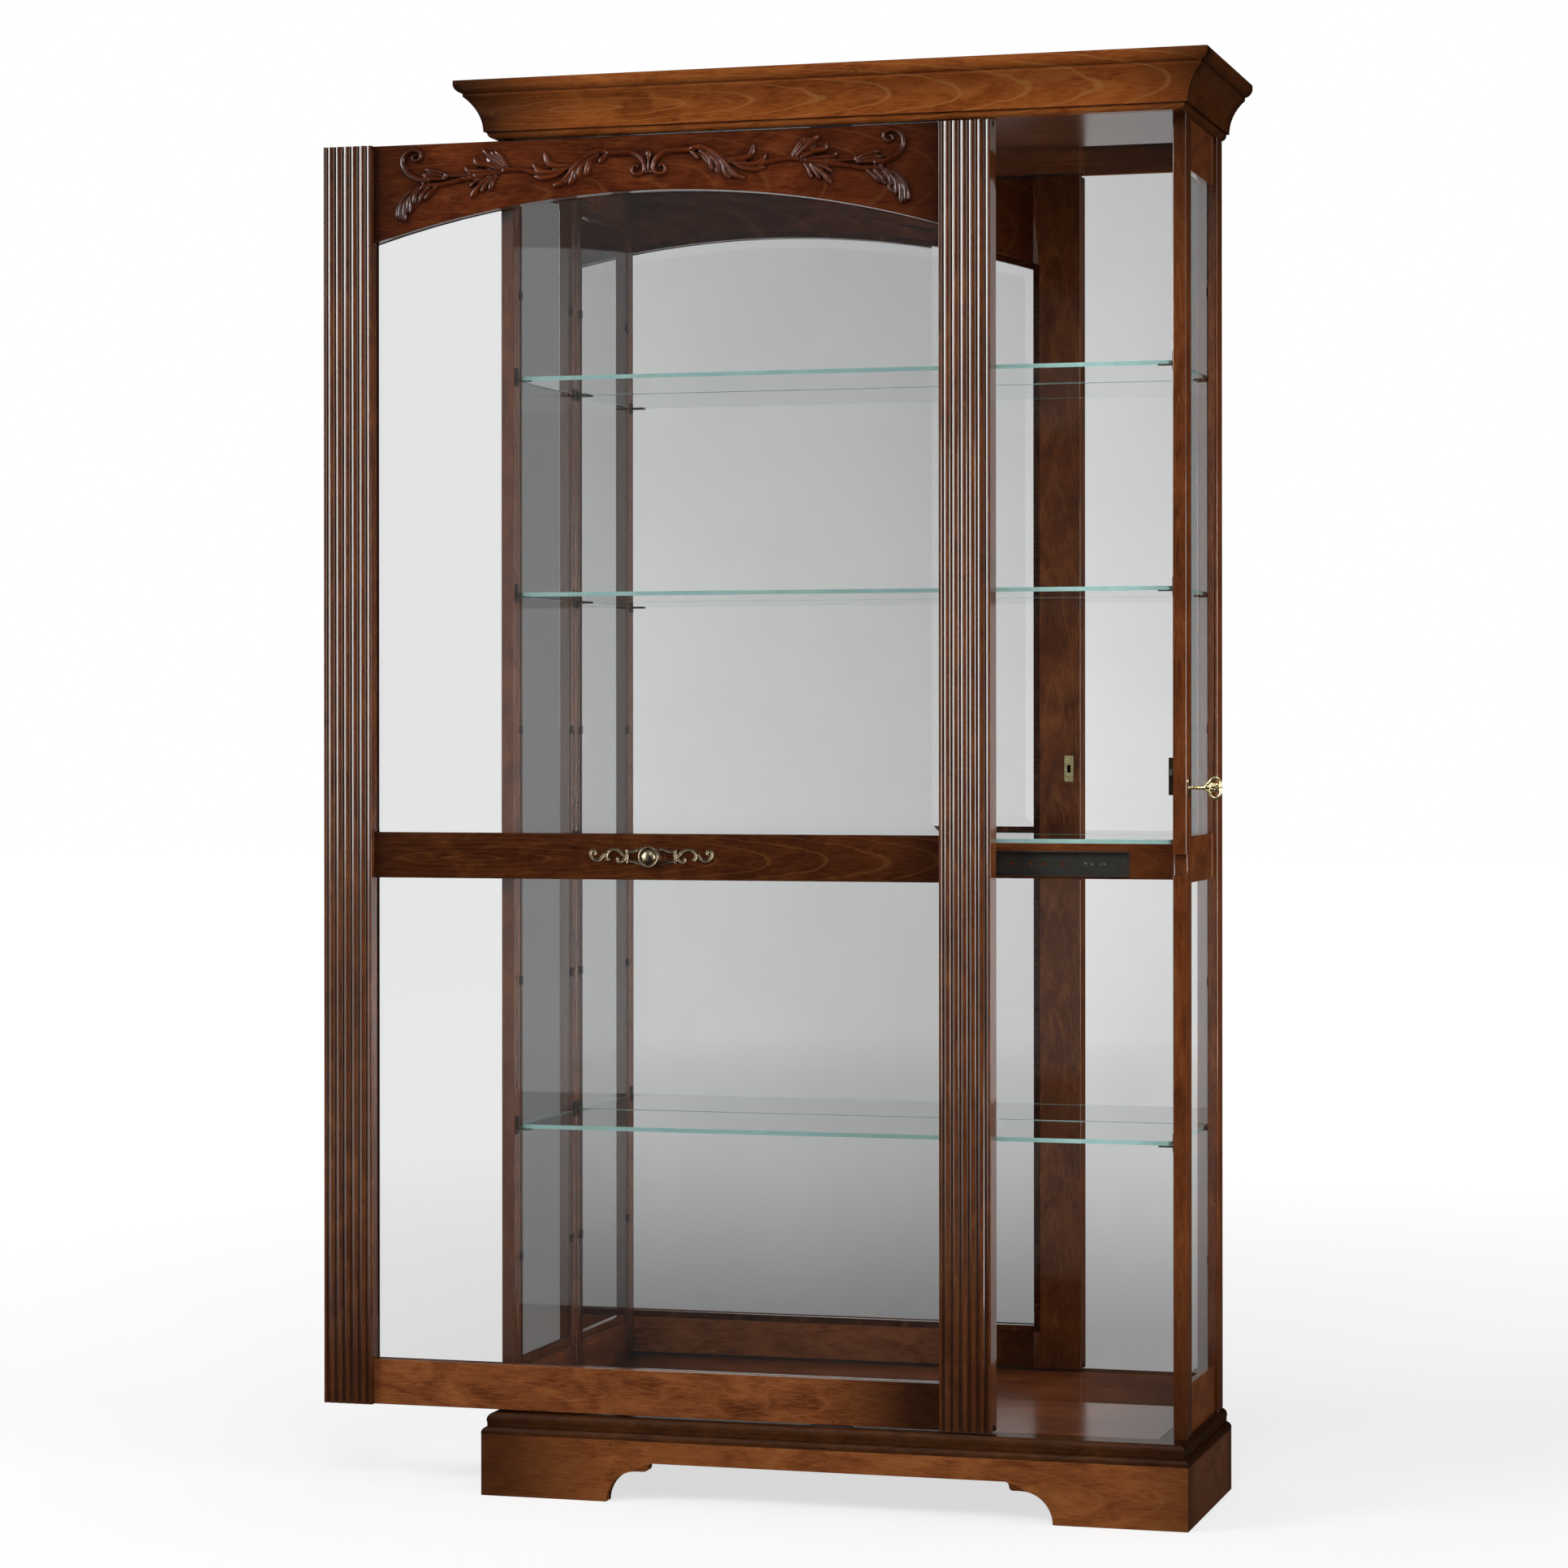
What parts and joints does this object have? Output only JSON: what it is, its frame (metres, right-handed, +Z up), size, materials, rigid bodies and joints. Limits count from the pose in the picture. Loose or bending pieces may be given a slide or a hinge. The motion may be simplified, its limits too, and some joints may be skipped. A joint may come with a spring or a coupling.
{
  "type": "display cabinet",
  "caption": "Tall glazed curio cabinet with mirrored back, glass shelves and one wide sliding door with an arched pane, fluted stiles and a carved top rail.",
  "frame": {"origin": "on the floor at the middle of the back face", "axes": "+X to the right seen from the front, the front faces -Y, +Z up"},
  "size_m": [1.3124, 0.3683, 2.032],
  "materials": {
    "cherry_wood": "stained, glazed and lacquered, semi gloss",
    "plain_hardwood": "sawn and planed, bare",
    "back_board": "hardboard, stained flat brown",
    "clear_glass": "float glass, polished edges",
    "mirror_glass": "silvered float glass",
    "aged_brass": "cast, antiqued and rubbed back",
    "polished_brass": "cast and polished",
    "bronzed_steel": "pressed, bronze coated",
    "black_steel": "rolled, black electrocoat",
    "bright_steel": "zinc plated",
    "nylon": "moulded"
  },
  "bodies": {
    "case": {"back_panel": "back_board", "base_back_rail": "cherry_wood", "base_cap_moulding": "cherry_wood", "base_front_apron": "cherry_wood", "base_sides": "cherry_wood", "ceiling_panel": "cherry_wood", "corner_blocks": "plain_hardwood", "crown_back_rail": "plain_hardwood", "crown_moulding": "cherry_wood", "deck_panel": "cherry_wood", "door_guides": "nylon", "front_mid_rail": "cherry_wood", "key_escutcheon": "polished_brass", "lock_case": "bronzed_steel", "mirror": "mirror_glass", "post_back_left": "cherry_wood", "post_back_right": "cherry_wood", "post_front_left": "cherry_wood", "post_front_right": "cherry_wood", "shelf_clips": "bronzed_steel", "shelf_low": "clear_glass", "shelf_middle": "clear_glass", "shelf_second": "clear_glass", "shelf_top": "clear_glass", "side_bottom_rails": "cherry_wood", "side_mid_rails": "cherry_wood", "side_pane_clips": "bronzed_steel", "side_pane_lower_left": "clear_glass", "side_pane_lower_right": "clear_glass", "side_pane_upper_left": "clear_glass", "side_pane_upper_right": "clear_glass", "side_top_rails": "cherry_wood", "slide_case_member": "black_steel", "slide_case_screws": "bright_steel", "top_cover": "back_board", "top_front_board": "cherry_wood"},
    "door": {"door_stile_left": "cherry_wood", "door_stile_right": "cherry_wood", "door_top_rail": "cherry_wood", "door_mid_rail": "cherry_wood", "door_bottom_rail": "cherry_wood", "door_pane_upper": "clear_glass", "door_pane_lower": "clear_glass", "door_glass_stops": "cherry_wood", "door_carving": "cherry_wood", "pull_plate": "aged_brass", "pull_knob": "aged_brass", "slide_door_member": "black_steel", "slide_door_screws": "bright_steel", "strike_plate": "polished_brass"},
    "slide_middle": {"slide_middle_member": "black_steel"},
    "cage_case": {"ball_cage_case": "bright_steel"},
    "cage_door": {"ball_cage_door": "bright_steel"},
    "key": {"key": "polished_brass"},
    "lock_bolt": {"lock_bolt": "bright_steel"},
    "leveller_front_left": {"leveller_front_left": "nylon"},
    "leveller_front_right": {"leveller_front_right": "nylon"},
    "leveller_back_left": {"leveller_back_left": "nylon"},
    "leveller_back_right": {"leveller_back_right": "nylon"}
  },
  "joints": [
    {"name": "door_slide", "type": "slide", "parent": "case", "child": "door", "axis": [1, 0, 0], "range_m": [-0.1956, 0.7244]},
    {"name": "slide_middle_run", "type": "slide", "parent": "case", "child": "slide_middle", "axis": [1, 0, 0], "range_m": [-0.098, 0.3624]},
    {"name": "cage_case_run", "type": "slide", "parent": "case", "child": "cage_case", "axis": [1, 0, 0], "range_m": [-0.049, 0.1812]},
    {"name": "cage_door_run", "type": "slide", "parent": "case", "child": "cage_door", "axis": [1, 0, 0], "range_m": [-0.147, 0.5435]},
    {"name": "key_turn", "type": "hinge", "parent": "case", "child": "key", "pos_m": [0.5, -0.271, 1.0194], "axis": [1, 0, 0], "range_deg": [0, 90]},
    {"name": "bolt_throw", "type": "slide", "parent": "case", "child": "lock_bolt", "axis": [0, -1, 0], "range_m": [0, 0.01]},
    {"name": "leveller_front_left_screw", "type": "slide", "parent": "case", "child": "leveller_front_left", "axis": [0, 0, -1], "range_m": [0, 0.015]},
    {"name": "leveller_front_right_screw", "type": "slide", "parent": "case", "child": "leveller_front_right", "axis": [0, 0, -1], "range_m": [0, 0.015]},
    {"name": "leveller_back_left_screw", "type": "slide", "parent": "case", "child": "leveller_back_left", "axis": [0, 0, -1], "range_m": [0, 0.015]},
    {"name": "leveller_back_right_screw", "type": "slide", "parent": "case", "child": "leveller_back_right", "axis": [0, 0, -1], "range_m": [0, 0.015]}
  ],
  "couplings": [
    {"joint": "slide_middle_run", "follows": "door_slide", "ratio": 0.5},
    {"joint": "cage_case_run", "follows": "door_slide", "ratio": 0.25},
    {"joint": "cage_door_run", "follows": "door_slide", "ratio": 0.75},
    {"joint": "bolt_throw", "follows": "key_turn", "m_per_rad": 0.006366}
  ]
}
